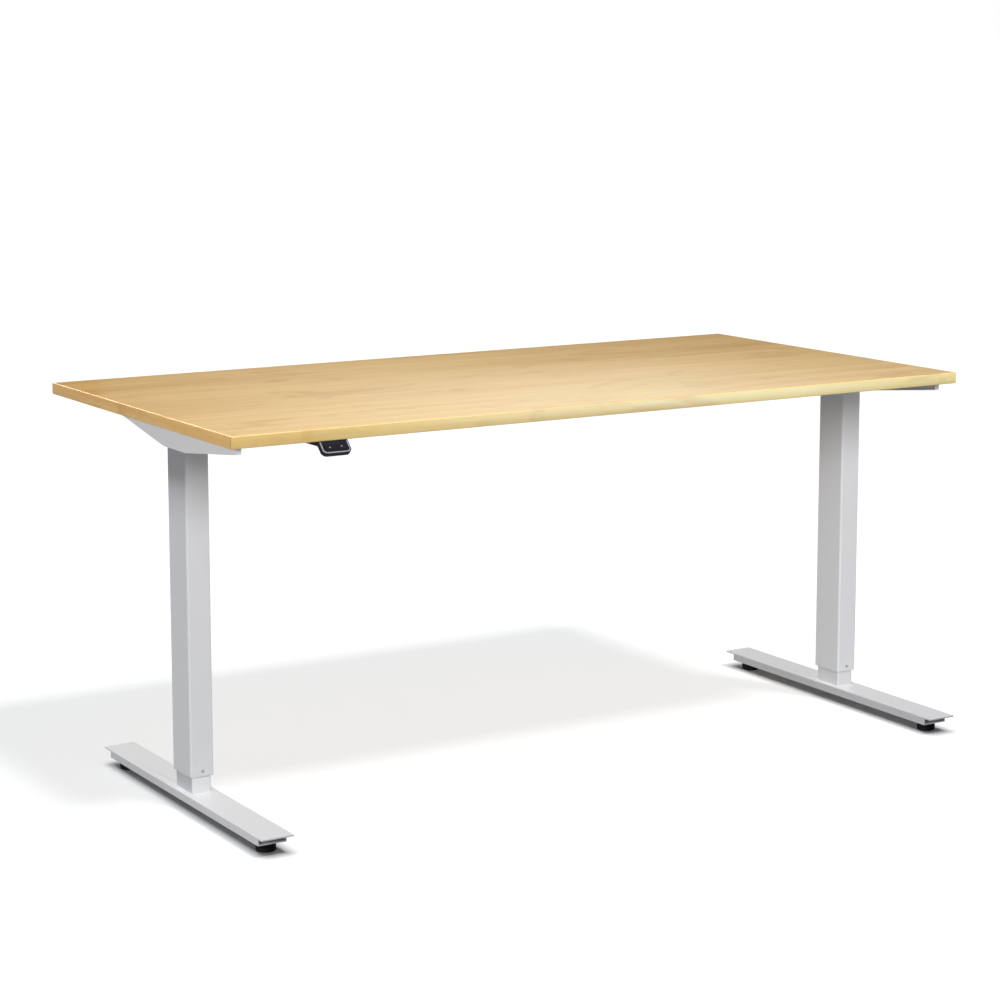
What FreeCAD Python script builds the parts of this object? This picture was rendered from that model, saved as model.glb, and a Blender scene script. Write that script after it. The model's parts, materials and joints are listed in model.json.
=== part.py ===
import FreeCAD, Part
import math
import os

# Height adjustable standing desk with two lifting columns.
# Millimetres, +Z up, user's side at -Y, length along X.
# The origin is on the floor at the centre of the whole desk's outline.

# ---- driving dimensions ------------------------------------------------
TOP_LENGTH = 1600.0
TOP_DEPTH = 800.0
TOP_THICKNESS = 22.0
TOP_HEIGHT = 727.0          # upper face of the top at the lowest position
BAND = 2.0                  # thickness of the edge lipping
STROKE = 460.0              # travel of each column
FRAME_SETBACK = 104.0       # columns sit this far forward of the top's centre

FOOT_LENGTH = 684.0
FOOT_WIDTH = 62.0
FOOT_PLATE = 3.0
FOOT_TOP = 35.0             # height of the foot plate's upper face
CHANNEL_LENGTH = 640.0
CHANNEL_WIDTH = 55.0
CHANNEL_WALL = 2.5
CHANNEL_BOTTOM = 17.5
PAD_RADIUS = 18.0
PAD_REACH = 294.0           # levelling pads, from the middle of the foot
PAD_TRAVEL = 8.0
STUD_RADIUS = 4.0

COLUMN_X = 745.0
OUTER_X = 46.0
OUTER_Y = 78.0
OUTER_CORNER = 4.0
OUTER_BOTTOM = 66.0
INNER_X = 38.0
INNER_Y = 70.0
INNER_CORNER = 3.5
INNER_TOP = 640.0
TUBE_WALL = 2.0
FIT = 0.05                  # radial clearance of every running fit

SPINDLE_RADIUS = 6.0
STOP_RADIUS = 9.0
STOP_HEIGHT = 8.0
NUT_RADIUS = 11.0
NUT_FLANGE_RADIUS = 15.0
NUT_FLANGE = 6.0
NUT_LENGTH = 34.0

BRACKET_WEB_X = 778.0       # outer face of a side bracket
# A bracket's deep part and its two ends, from the columns' centre line.
BRACKET_FRONT = -270.0
BRACKET_FLAT_FRONT = -61.0
BRACKET_FLAT_REAR = 31.0
BRACKET_REAR = 223.0
BRACKET_DEPTH = 40.0
BRACKET_FRONT_DEPTH = 15.0
BRACKET_REAR_DEPTH = 6.0
BRACKET_SHEET = 2.0
BRACKET_RIM = 9.5
BRACKET_TOP_WIDTH = 45.0

HEAD_PLATE = 5.0
HEAD_HALF_Y = 62.0
HEAD_INBOARD = 80.0

MOTOR_RADIUS = 16.5
MOTOR_LENGTH = 104.0
MOTOR_NOSE_RADIUS = 11.0

RAIL_WIDTH = 22.0
RAIL_HEIGHT = 30.0
RAIL_WALL = 1.5
RAIL_OFFSET = 42.0          # each rail, from the columns' centre line
CENTRE_RAIL_HALF = 360.0
END_RAIL_REACH = 250.0      # inboard end of the sliding end rails
END_PLATE = 4.0

BOX_X = (120.0, 360.0)      # control box, along X
BOX_Y = (-6.0, 112.0)
BOX_BOTTOM = 670.0
BOX_WALL = 2.0

HANDSET_X = -607.0
HANDSET_WIDTH = 57.0
HANDSET_THICKNESS = 8.5
HANDSET_REACH = 72.0        # how far it runs back under the top
PANEL_SLANT = 25.5
PANEL_SETBACK = 1.0         # the panel starts this far ahead of the top's edge
BEZEL = 1.2
BEZEL_INSET = 1.5           # ledge of the housing outside the bright rim
BEZEL_RIM = 2.4
BUTTON_TRAVEL = 0.8

# ---- values worked out from them ----------------------------------------
UNDERSIDE = TOP_HEIGHT - TOP_THICKNESS
# The feet stand out in front and the top stands out behind: centring that
# outline on Y places the top and the frame.
TOP_Y = (FOOT_LENGTH / 2 + FRAME_SETBACK - TOP_DEPTH / 2) / 2
FRAME_Y = TOP_Y - FRAME_SETBACK
FRONT_Y = TOP_Y - TOP_DEPTH / 2
HEAD_TOP = UNDERSIDE - BRACKET_SHEET
HEAD_BOTTOM = HEAD_TOP - HEAD_PLATE
GEARBOX_HEIGHT = 39.0
GEARBOX_BOTTOM = HEAD_BOTTOM - GEARBOX_HEIGHT
BEARING_HEIGHT = 7.0
BEARING_RADIUS = 13.0
SPINDLE_TOP = HEAD_BOTTOM - 10.0
# At full height the collar stops just short of the nut.
SPINDLE_BOTTOM = INNER_TOP + NUT_FLANGE - NUT_LENGTH - STROKE - STOP_HEIGHT - 2.0
MOTOR_Z = GEARBOX_BOTTOM + GEARBOX_HEIGHT / 2
RAIL_TOP = HEAD_BOTTOM
RAIL_BOTTOM = RAIL_TOP - RAIL_HEIGHT
GUIDE_HEIGHT = 40.0
GUIDE_RECESS = 2.0
CARRIER = 8.0
COLUMN_BASE = 10.0
FOOT_BOLT_X = 10.0
FOOT_BOLT_Y = 24.0

V = FreeCAD.Vector
X_AXIS = V(1, 0, 0)
Y_AXIS = V(0, 1, 0)
Z_AXIS = V(0, 0, 1)


# ---- helpers ------------------------------------------------------------
def box(x0, x1, y0, y1, z0, z1):
    """A block between two corners."""
    return Part.makeBox(x1 - x0, y1 - y0, z1 - z0, V(x0, y0, z0))


def rod(radius, x, y, z0, z1):
    """An upright cylinder."""
    return Part.makeCylinder(radius, z1 - z0, V(x, y, z0), Z_AXIS)


def prism(width, depth, corner, x, y, z0, z1):
    """An upright block with rounded corners, centred on (x, y)."""
    block = box(x - width / 2, x + width / 2, y - depth / 2, y + depth / 2, z0, z1)
    uprights = [edge for edge in block.Edges if is_upright(edge)]
    return block.makeFillet(corner, uprights)


def is_upright(edge):
    """True for an edge that runs along Z."""
    start, end = edge.Vertexes[0].Point, edge.Vertexes[-1].Point
    return abs(start.x - end.x) < 1e-6 and abs(start.y - end.y) < 1e-6


def sleeve(width, depth, corner, wall, x, y, z0, z1):
    """A rectangular tube with rounded corners."""
    outside = prism(width, depth, corner, x, y, z0, z1)
    inside = prism(width - 2 * wall, depth - 2 * wall, corner - wall, x, y, z0, z1)
    return outside.cut(inside)


def side_prism(points, x0, x1):
    """A (y, z) outline drawn out along X."""
    corners = [V(x0, y, z) for y, z in points]
    face = Part.Face(Part.makePolygon(corners + corners[:1]))
    return face.extrude(V(x1 - x0, 0, 0))


def hexagon(across, x, y, z0, z1):
    """An upright hexagonal bar, measured across its corners."""
    turns = [math.radians(60 * step) for step in range(6)]
    radius = across / 2
    corners = [V(x + radius * math.cos(t), y + radius * math.sin(t), z0) for t in turns]
    face = Part.Face(Part.makePolygon(corners + corners[:1]))
    return face.extrude(V(0, 0, z1 - z0))


def lathe(profile, x, y):
    """A (radius, z) outline turned about an upright axis."""
    corners = [V(x + radius, y, z) for radius, z in profile]
    face = Part.Face(Part.makePolygon(corners + corners[:1]))
    return face.revolve(V(x, y, 0), Z_AXIS, 360)


def joined(shapes):
    """One solid from several that touch or overlap."""
    return shapes[0].fuse(shapes[1:]).removeSplitter()


def group(shapes):
    """Separate solids in one node."""
    return Part.makeCompound(shapes)


def mirrored(shape):
    """The same piece for the other end of the desk."""
    return shape.mirror(V(0, 0, 0), X_AXIS)


def save(name, shape):
    """Write one node."""
    shape.exportStep(os.path.join("parts", name + ".step"))


# ---- feet ---------------------------------------------------------------
# Every side piece is drawn for the left end, at x = -COLUMN_X.
def foot_bolt_places():
    """Where the four bolts hold a column on its foot."""
    return [(-COLUMN_X + sx * FOOT_BOLT_X, FRAME_Y + sy * FOOT_BOLT_Y)
            for sx in (-1, 1) for sy in (-1, 1)]


def pad_places():
    """The levelling pads under a foot, by name."""
    return {"front": FRAME_Y - PAD_REACH, "rear": FRAME_Y + PAD_REACH}


def foot_plate():
    """Flat top plate of the foot, standing out past the channel all round."""
    half_x, half_y = FOOT_WIDTH / 2, FOOT_LENGTH / 2
    plate = box(-COLUMN_X - half_x, -COLUMN_X + half_x, FRAME_Y - half_y, FRAME_Y + half_y,
                FOOT_TOP - FOOT_PLATE, FOOT_TOP)
    holes = [rod(STUD_RADIUS + 0.3, x, y, FOOT_TOP - 10, FOOT_TOP + 10)
             for x, y in foot_bolt_places()]
    return plate.cut(holes)


def foot_channel():
    """Upward-open channel under the plate, with a welded nut for each pad."""
    top = FOOT_TOP - FOOT_PLATE
    half_x, half_y = CHANNEL_WIDTH / 2, CHANNEL_LENGTH / 2
    y0, y1 = FRAME_Y - half_y, FRAME_Y + half_y
    outside = box(-COLUMN_X - half_x, -COLUMN_X + half_x, y0, y1, CHANNEL_BOTTOM, top)
    web_top = CHANNEL_BOTTOM + CHANNEL_WALL
    inner_half = half_x - CHANNEL_WALL
    hollow = box(-COLUMN_X - inner_half, -COLUMN_X + inner_half, y0 - 1, y1 + 1, web_top, top + 1)
    nuts = [hexagon(15, -COLUMN_X, y, web_top, web_top + 7) for y in pad_places().values()]
    bores = [rod(STUD_RADIUS + FIT, -COLUMN_X, y, 0, top) for y in pad_places().values()]
    access = [rod(9, x, y, 0, top) for x, y in foot_bolt_places()]
    return joined([outside.cut(hollow)] + nuts).cut(bores + access)


def foot_bolts():
    """Bolts that come up through the foot plate into the column's base."""
    head_top = FOOT_TOP - FOOT_PLATE
    return group([joined([hexagon(14, x, y, head_top - 5.3, head_top),
                          rod(STUD_RADIUS, x, y, head_top - 5.3, FOOT_TOP + COLUMN_BASE - 1)])
                  for x, y in foot_bolt_places()])


def leveller(y):
    """Levelling pad with its stud, screwed right in."""
    gap = 0.5
    neck_top = CHANNEL_BOTTOM - gap
    stud_top = CHANNEL_BOTTOM + CHANNEL_WALL + PAD_TRAVEL + 3
    profile = [(0, 0), (16.8, 0), (PAD_RADIUS, 1.2), (PAD_RADIUS, 11), (16.6, 14.2),
               (13, neck_top), (STUD_RADIUS, neck_top), (STUD_RADIUS, stud_top - 1),
               (STUD_RADIUS - 1, stud_top), (0, stud_top)]
    return lathe(profile, -COLUMN_X, y)


# ---- columns ------------------------------------------------------------
def column_base():
    """Threaded block welded in the bottom of the inner tube."""
    width = INNER_X - 2 * TUBE_WALL
    depth = INNER_Y - 2 * TUBE_WALL
    block = prism(width, depth, INNER_CORNER - TUBE_WALL, -COLUMN_X, FRAME_Y,
                  FOOT_TOP, FOOT_TOP + COLUMN_BASE)
    holes = [rod(STUD_RADIUS + FIT, x, y, 0, 100) for x, y in foot_bolt_places()]
    return block.cut(holes)


def inner_tube():
    """Moving tube, standing on the foot."""
    return sleeve(INNER_X, INNER_Y, INNER_CORNER, TUBE_WALL, -COLUMN_X, FRAME_Y,
                  FOOT_TOP, INNER_TOP)


def nut_carrier():
    """Plate welded in the top of the inner tube, holding the spindle nut."""
    width = INNER_X - 2 * TUBE_WALL
    depth = INNER_Y - 2 * TUBE_WALL
    plate = prism(width, depth, INNER_CORNER - TUBE_WALL, -COLUMN_X, FRAME_Y,
                  INNER_TOP - CARRIER, INNER_TOP)
    return plate.cut(rod(NUT_RADIUS + FIT, -COLUMN_X, FRAME_Y, 0, TOP_HEIGHT))


def spindle_nut():
    """Flanged nut that rides on the spindle."""
    flange = rod(NUT_FLANGE_RADIUS, -COLUMN_X, FRAME_Y, INNER_TOP, INNER_TOP + NUT_FLANGE)
    barrel = rod(NUT_RADIUS, -COLUMN_X, FRAME_Y, INNER_TOP + NUT_FLANGE - NUT_LENGTH, INNER_TOP)
    bore = rod(SPINDLE_RADIUS + FIT, -COLUMN_X, FRAME_Y, 0, TOP_HEIGHT)
    return joined([flange, barrel]).cut(bore)


def ring(outer_x, outer_y, outer_corner, inner_x, inner_y, inner_corner, z0, z1):
    """A rectangular guide ring about the column's axis."""
    outside = prism(outer_x, outer_y, outer_corner, -COLUMN_X, FRAME_Y, z0, z1)
    inside = prism(inner_x, inner_y, inner_corner, -COLUMN_X, FRAME_Y, z0, z1)
    return outside.cut(inside)


def inner_guide():
    """Slide ring round the top of the inner tube, running in the outer tube."""
    room_x = OUTER_X - 2 * TUBE_WALL
    room_y = OUTER_Y - 2 * TUBE_WALL
    z1 = INNER_TOP - 10
    return ring(room_x - 2 * FIT, room_y - 2 * FIT, OUTER_CORNER - TUBE_WALL,
                INNER_X, INNER_Y, INNER_CORNER, z1 - GUIDE_HEIGHT, z1)


def outer_guide():
    """Slide ring in the mouth of the outer tube, running on the inner tube."""
    room_x = OUTER_X - 2 * TUBE_WALL
    room_y = OUTER_Y - 2 * TUBE_WALL
    z0 = OUTER_BOTTOM + GUIDE_RECESS
    guide = ring(room_x, room_y, OUTER_CORNER - TUBE_WALL, INNER_X + 2 * FIT, INNER_Y + 2 * FIT,
                 INNER_CORNER + FIT, z0, z0 + GUIDE_HEIGHT)
    return guide.cut(guide_screw_holes())


def guide_screw_bars(radius):
    """Cross bars at the guide screws, through the front and rear walls."""
    z = OUTER_BOTTOM + 10
    wall_y = OUTER_Y / 2
    depth = TUBE_WALL + 1.5
    front = Part.makeCylinder(radius, depth, V(-COLUMN_X, FRAME_Y - wall_y, z), Y_AXIS)
    rear = Part.makeCylinder(radius, depth, V(-COLUMN_X, FRAME_Y + wall_y, z), Y_AXIS * -1)
    return [front, rear]


def guide_screw_holes():
    """Holes for the guide screws."""
    return guide_screw_bars(1.7)


def guide_screws():
    """Small countersunk screws that hold the slide ring in the tube's mouth."""
    shanks = guide_screw_bars(1.6)
    z = OUTER_BOTTOM + 10
    half = OUTER_Y / 2
    heads = [Part.makeCone(2.9, 2.3, 1.0, V(-COLUMN_X, FRAME_Y - half, z), Y_AXIS * -1),
             Part.makeCone(2.9, 2.3, 1.0, V(-COLUMN_X, FRAME_Y + half, z), Y_AXIS)]
    return [joined([shank, head]) for shank, head in zip(shanks, heads)]


def motor_axis(radius, x0, x1):
    """A bar on the motor's axis, between two places along X."""
    return Part.makeCylinder(radius, x1 - x0, V(x0, FRAME_Y, MOTOR_Z), X_AXIS)


def outer_tube():
    """Fixed tube hanging from the head plate, open at the bottom."""
    tube = sleeve(OUTER_X, OUTER_Y, OUTER_CORNER, TUBE_WALL, -COLUMN_X, FRAME_Y,
                  OUTER_BOTTOM, HEAD_BOTTOM)
    port = motor_axis(MOTOR_NOSE_RADIUS + 0.5, -COLUMN_X, -COLUMN_X + OUTER_X)
    return tube.cut([port] + guide_screw_holes())


def gearbox():
    """Closed gear housing inside the top of the outer tube."""
    half_x = OUTER_X / 2 - TUBE_WALL - 0.2
    room = box(-COLUMN_X - half_x, -COLUMN_X + 15, FRAME_Y - 30, FRAME_Y + 30,
               GEARBOX_BOTTOM, HEAD_BOTTOM)
    bore = rod(SPINDLE_RADIUS + FIT, -COLUMN_X, FRAME_Y, 0, SPINDLE_TOP + 1)
    return room.cut(bore)


def thrust_bearing():
    """Bearing under the gear housing that carries the spindle's load."""
    ring_body = rod(BEARING_RADIUS, -COLUMN_X, FRAME_Y, GEARBOX_BOTTOM - BEARING_HEIGHT,
                    GEARBOX_BOTTOM)
    return ring_body.cut(rod(SPINDLE_RADIUS + FIT, -COLUMN_X, FRAME_Y, 0, TOP_HEIGHT))


def spindle():
    """Lifting spindle with its stop collar, drawn as its plain pitch cylinder."""
    shaft = rod(SPINDLE_RADIUS, -COLUMN_X, FRAME_Y, SPINDLE_BOTTOM, SPINDLE_TOP)
    collar = rod(STOP_RADIUS, -COLUMN_X, FRAME_Y, SPINDLE_BOTTOM, SPINDLE_BOTTOM + STOP_HEIGHT)
    return joined([shaft, collar])


def motor():
    """Geared motor lying inboard of the column, its nose through the tube wall."""
    face_x = -COLUMN_X + OUTER_X / 2
    nose = motor_axis(MOTOR_NOSE_RADIUS, -COLUMN_X + 15, face_x + 0.5)
    can = motor_axis(MOTOR_RADIUS, face_x + 0.5, face_x + MOTOR_LENGTH)
    cap = motor_axis(MOTOR_RADIUS - 3, face_x + MOTOR_LENGTH, face_x + MOTOR_LENGTH + 6)
    boss = motor_axis(6, face_x + MOTOR_LENGTH + 6, face_x + MOTOR_LENGTH + 11)
    return joined([nose, can, cap, boss])


# ---- brackets and beam --------------------------------------------------
def bracket_outline(inset):
    """Side bracket seen from its end of the desk, each side moved in by inset."""
    top, low = UNDERSIDE - inset, UNDERSIDE - BRACKET_DEPTH + inset
    ends = [(BRACKET_FRONT, BRACKET_FLAT_FRONT, BRACKET_FRONT_DEPTH),
            (BRACKET_REAR, BRACKET_FLAT_REAR, BRACKET_REAR_DEPTH)]
    outline = []
    for end, flat, depth in ends:
        side = math.copysign(1, end)
        slope = math.atan2(BRACKET_DEPTH - depth, abs(end - flat))
        end_y = FRAME_Y + end - side * inset
        flat_y = FRAME_Y + flat - side * inset * math.tan(slope / 2)
        tip = low + abs(end_y - flat_y) * math.tan(slope)
        points = [(end_y, top), (end_y, tip), (flat_y, low)]
        outline += points if side < 0 else points[::-1]
    return outline


def board_screw_places():
    """Screws through a side bracket's top flange into the board."""
    x = -BRACKET_WEB_X + BRACKET_TOP_WIDTH - 14
    return [(x, FRAME_Y + reach) for reach in (-250, -170, -90, 90, 150, 205)]


def head_bolt_places():
    """Bolts between a head plate and the side bracket above it."""
    return [(-COLUMN_X + dx, FRAME_Y + sign * (OUTER_Y / 2 + 12))
            for dx in (-17, 3) for sign in (-1, 1)]


def side_bracket():
    """Folded sheet arm: outer web, narrow rim below and a wide flange on top."""
    web_x = -BRACKET_WEB_X
    shell = side_prism(bracket_outline(0), web_x, web_x + BRACKET_RIM)
    pocket = side_prism(bracket_outline(BRACKET_SHEET), web_x + BRACKET_SHEET,
                        web_x + BRACKET_RIM + 1)
    flange = box(web_x, web_x + BRACKET_TOP_WIDTH, FRAME_Y + BRACKET_FRONT,
                 FRAME_Y + BRACKET_REAR, UNDERSIDE - BRACKET_SHEET, UNDERSIDE)
    holes = [rod(2.7, x, y, 0, TOP_HEIGHT) for x, y in board_screw_places()]
    holes += [rod(3.2, x, y, 0, TOP_HEIGHT) for x, y in head_bolt_places()]
    return joined([shell.cut(pocket), flange]).cut(holes)


def head_plate():
    """Plate welded on the outer tube, bolted up to the side bracket."""
    outer_x = -BRACKET_WEB_X + BRACKET_SHEET + 1
    plate = box(outer_x, outer_x + HEAD_INBOARD, FRAME_Y - HEAD_HALF_Y, FRAME_Y + HEAD_HALF_Y,
                HEAD_BOTTOM, HEAD_TOP)
    return plate.cut([rod(3.2, x, y, 0, TOP_HEIGHT) for x, y in head_bolt_places()])


def head_bolts():
    """Four bolts per column, heads down."""
    return [joined([hexagon(11.5, x, y, HEAD_BOTTOM - 4, HEAD_BOTTOM),
                    rod(3, x, y, HEAD_BOTTOM - 4, UNDERSIDE - 0.5)])
            for x, y in head_bolt_places()]


def board_screws():
    """Pan-head screws that hold the board on a side bracket."""
    return [joined([rod(4.6, x, y, HEAD_TOP - 2.4, HEAD_TOP),
                    rod(2.5, x, y, HEAD_TOP - 2.4, UNDERSIDE + 15)])
            for x, y in board_screw_places()]


def rail_places():
    """Centre line of each beam rail, by name."""
    return {"front": FRAME_Y - RAIL_OFFSET, "rear": FRAME_Y + RAIL_OFFSET}


def rail_tube(width, height, x0, x1, y, z_mid):
    """A rectangular rail along X, with RAIL_WALL walls."""
    outside = box(x0, x1, y - width / 2, y + width / 2, z_mid - height / 2, z_mid + height / 2)
    inner_w, inner_h = width / 2 - RAIL_WALL, height / 2 - RAIL_WALL
    hollow = box(x0 - 1, x1 + 1, y - inner_w, y + inner_w, z_mid - inner_h, z_mid + inner_h)
    return outside.cut(hollow)


def clamp_screw_places():
    """Clamp screws under the centre rails, in both directions."""
    return [(sign * x, y) for sign in (-1, 1) for x in (285, 335) for y in rail_places().values()]


def clamp_holes():
    """Holes for the clamp screws."""
    return [rod(3.2, x, y, RAIL_BOTTOM - 5, RAIL_BOTTOM + 8) for x, y in clamp_screw_places()]


def centre_rail(y):
    """Outer rail of the telescopic beam."""
    tube = rail_tube(RAIL_WIDTH, RAIL_HEIGHT, -CENTRE_RAIL_HALF, CENTRE_RAIL_HALF, y,
                     RAIL_TOP - RAIL_HEIGHT / 2)
    return tube.cut(clamp_holes())


def beam_end():
    """End plate with the two sliding rails welded to it."""
    face_x = -COLUMN_X + OUTER_X / 2
    plate = box(face_x, face_x + END_PLATE, FRAME_Y - 58, FRAME_Y + 58, GEARBOX_BOTTOM,
                HEAD_BOTTOM)
    plate = plate.cut(motor_axis(MOTOR_RADIUS + 0.5, face_x - 1, face_x + END_PLATE + 1))
    clearance = 0.2
    width = RAIL_WIDTH - 2 * RAIL_WALL - 2 * clearance
    height = RAIL_HEIGHT - 2 * RAIL_WALL - 2 * clearance
    rails = [rail_tube(width, height, face_x + END_PLATE, -END_RAIL_REACH, y,
                       RAIL_TOP - RAIL_HEIGHT / 2) for y in rail_places().values()]
    return joined([plate] + rails).cut(clamp_holes())


def clamp_screws():
    """Button-head screws that fix the beam's length."""
    return [joined([rod(5, x, y, RAIL_BOTTOM - 2.6, RAIL_BOTTOM),
                    rod(3, x, y, RAIL_BOTTOM - 2.6, RAIL_BOTTOM + 7)])
            for x, y in clamp_screw_places()]


# ---- top ----------------------------------------------------------------
def tabletop_board():
    """Faced chipboard, inside its lipping, with a pilot hole for each screw."""
    half_x, half_y = TOP_LENGTH / 2 - BAND, TOP_DEPTH / 2 - BAND
    board = box(-half_x, half_x, TOP_Y - half_y, TOP_Y + half_y, UNDERSIDE, TOP_HEIGHT)
    pilots = [rod(2.55, sign * x, y, UNDERSIDE - 1, UNDERSIDE + 16)
              for sign in (-1, 1) for x, y in board_screw_places()]
    pilots += [rod(2.05, x, y, UNDERSIDE - 1, UNDERSIDE + 13)
               for x, y in box_screw_places() + handset_screw_places()]
    return board.cut(pilots)


def edge_banding():
    """Lipping: the long strips run the full length, the short ones fit between."""
    half_x, half_y = TOP_LENGTH / 2, TOP_DEPTH / 2
    softening = 0.8
    long_strips = []
    short_strips = []
    for sign in (-1, 1):
        y0, y1 = sorted((TOP_Y + sign * half_y, TOP_Y + sign * (half_y - BAND)))
        strip = box(-half_x, half_x, y0, y1, UNDERSIDE, TOP_HEIGHT)
        outer_y = TOP_Y + sign * half_y
        long_strips.append(soften(strip, softening, lambda p: abs(p.y - outer_y) < 1e-6))
        x0, x1 = sorted((sign * half_x, sign * (half_x - BAND)))
        strip = box(x0, x1, TOP_Y - half_y + BAND, TOP_Y + half_y - BAND, UNDERSIDE, TOP_HEIGHT)
        outer_x = sign * half_x
        short_strips.append(soften(strip, softening, lambda p: abs(p.x - outer_x) < 1e-6))
    return group(long_strips + short_strips)


def soften(strip, radius, is_outer):
    """Round the two long arrises on a strip's outer face."""
    arrises = [edge for edge in strip.Edges
               if edge.Length > 100 and all(is_outer(v.Point) for v in edge.Vertexes)]
    return strip.makeFillet(radius, arrises)


# ---- control box --------------------------------------------------------
# (name, middle along X, half width, bottom and top of the mouth)
SOCKETS = (("motor_a", 160.0, 7.0, 5.0), ("motor_b", 186.0, 7.0, 5.0), ("handset", 212.0, 7.0, 5.0))
SOCKET_DEPTH = 12.0
SOCKET_WALL = 1.2
INLET_X = 310.0
INLET_HALF_WIDTH = 13.0
INLET_HALF_HEIGHT = 8.5
INLET_DEPTH = 18.0
PORT_Z = (BOX_BOTTOM + UNDERSIDE) / 2 - 1.0


def port_block(x, half_x, half_z, depth, back_y):
    """A block reaching in from the control box's rear face."""
    return box(x - half_x, x + half_x, back_y - depth, back_y, PORT_Z - half_z, PORT_Z + half_z)


def port_shell(x, half_x, half_z, depth):
    """A socket: an open-mouthed shell flush with the control box's rear face."""
    rear = BOX_Y[1]
    body = port_block(x, half_x + SOCKET_WALL, half_z + SOCKET_WALL, depth + SOCKET_WALL, rear)
    mouth = port_block(x, half_x, half_z, depth + 1, rear + 1)
    return body.cut(mouth)


def port_cutouts():
    """Openings in the rear wall for the sockets and the inlet."""
    rear = BOX_Y[1] + 1
    margin = SOCKET_WALL + 0.1
    cuts = [port_block(x, half_x + margin, half_z + margin, 5, rear)
            for _, x, half_x, half_z in SOCKETS]
    cuts.append(port_block(INLET_X, INLET_HALF_WIDTH + margin, INLET_HALF_HEIGHT + margin, 5, rear))
    return cuts


def control_sockets():
    """Sockets for the two motors and the handset."""
    return group([port_shell(x, half_x, half_z, SOCKET_DEPTH) for _, x, half_x, half_z in SOCKETS])


def mains_inlet():
    """Mains inlet with its open mouth and three pins."""
    shell = port_shell(INLET_X, INLET_HALF_WIDTH, INLET_HALF_HEIGHT, INLET_DEPTH)
    floor_y = BOX_Y[1] - INLET_DEPTH
    pins = [box(INLET_X + x - 1, INLET_X + x + 1, floor_y - 0.5, floor_y + 3.5,
                PORT_Z + z - 2, PORT_Z + z + 2) for x, z in ((-7, -1), (0, 2), (7, -1))]
    return joined([shell] + pins)


def control_box_case():
    """Tray of the control box, open at the top."""
    x0, x1 = BOX_X
    y0, y1 = BOX_Y
    top = UNDERSIDE - BOX_WALL
    outside = box(x0, x1, y0, y1, BOX_BOTTOM, top)
    low_edges = [edge for edge in outside.Edges
                 if is_upright(edge) or edge.BoundBox.ZMax < BOX_BOTTOM + 1]
    outside = outside.makeFillet(3.0, low_edges)
    hollow = box(x0 + BOX_WALL, x1 - BOX_WALL, y0 + BOX_WALL, y1 - BOX_WALL,
                 BOX_BOTTOM + BOX_WALL, top + 1)
    return outside.cut([hollow] + port_cutouts())


def box_screw_places():
    """Screws through the lid's ears into the board."""
    return [(x, y) for x in (BOX_X[0] - 8, BOX_X[1] + 8) for y in (BOX_Y[0] + 18, BOX_Y[1] - 18)]


def control_box_lid():
    """Mounting plate that closes the tray, with four ears."""
    x0, x1 = BOX_X
    y0, y1 = BOX_Y
    z0 = UNDERSIDE - BOX_WALL
    plate = [box(x0, x1, y0, y1, z0, UNDERSIDE)]
    ears = [box(x - 8, x + 8, y - 9, y + 9, z0, UNDERSIDE) for x, y in box_screw_places()]
    holes = [rod(2.2, x, y, 0, TOP_HEIGHT) for x, y in box_screw_places()]
    return joined(plate + ears).cut(holes)


def fixing_screws(places, top):
    """Small pan-head screws up into the board, their heads against a face at top."""
    return [joined([rod(3.8, x, y, top - 2.2, top), rod(2.0, x, y, top - 2.2, UNDERSIDE + 12)])
            for x, y in places]


def control_board():
    """Circuit board with its transformer and main parts."""
    z = BOX_BOTTOM + BOX_WALL + 4
    x0 = BOX_X[0] + 8
    y0 = BOX_Y[0] + 8
    board = box(x0, BOX_X[1] - 8, y0, BOX_Y[1] - 24, z, z + 1.6)
    top = z + 1.6
    parts = [box(x0 + 120, x0 + 175, y0 + 10, y0 + 60, top, top + 20),
             rod(9, x0 + 30, y0 + 25, top, top + 19),
             rod(9, x0 + 52, y0 + 25, top, top + 19),
             box(x0 + 80, x0 + 100, y0 + 14, y0 + 34, top, top + 2.5)]
    return joined([board] + parts)


# ---- handset ------------------------------------------------------------
# The sloping panel has its own directions: slant runs forward and down,
# height stands off its face, up and forward.
PANEL_START = V(HANDSET_X, FRONT_Y - PANEL_SETBACK, UNDERSIDE - 1.0)
PANEL_ROLL = FreeCAD.Rotation(X_AXIS, 45)
BUTTON_GAP = 0.3
BUTTON_HALF_WIDTH = 8.5
BUTTON_HALF_SLANT = 6.0
BUTTON_SPREAD = 11.6
BUTTON_SLANT = 12.0
POCKET_DEPTH = 3.4
BOARD_THICKNESS = 0.8


def on_panel(shape):
    """Move a piece drawn with its slant along -Y and its height along Z."""
    return shape.transformed(FreeCAD.Placement(PANEL_START, PANEL_ROLL).toMatrix())


def panel_slab(margin, slant0, z0, z1):
    """A slab on the panel with its two lower corners well rounded."""
    half = HANDSET_WIDTH / 2 - margin
    slab = box(-half, half, -PANEL_SLANT + margin, -slant0, z0, z1)
    corners = [edge for edge in slab.Edges
               if is_upright(edge) and edge.Vertexes[0].Point.y < -PANEL_SLANT / 2]
    return slab.makeFillet(10.0 - margin, corners)


def button_block(sign, gap, z0, z1):
    """A button's block, or its hole when gap is added all round."""
    x = sign * BUTTON_SPREAD
    half_x, half_y = BUTTON_HALF_WIDTH + gap, BUTTON_HALF_SLANT + gap
    block = box(x - half_x, x + half_x, -BUTTON_SLANT - half_y, -BUTTON_SLANT + half_y, z0, z1)
    return block.makeFillet(2.0 + gap, [edge for edge in block.Edges if is_upright(edge)])


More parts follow.
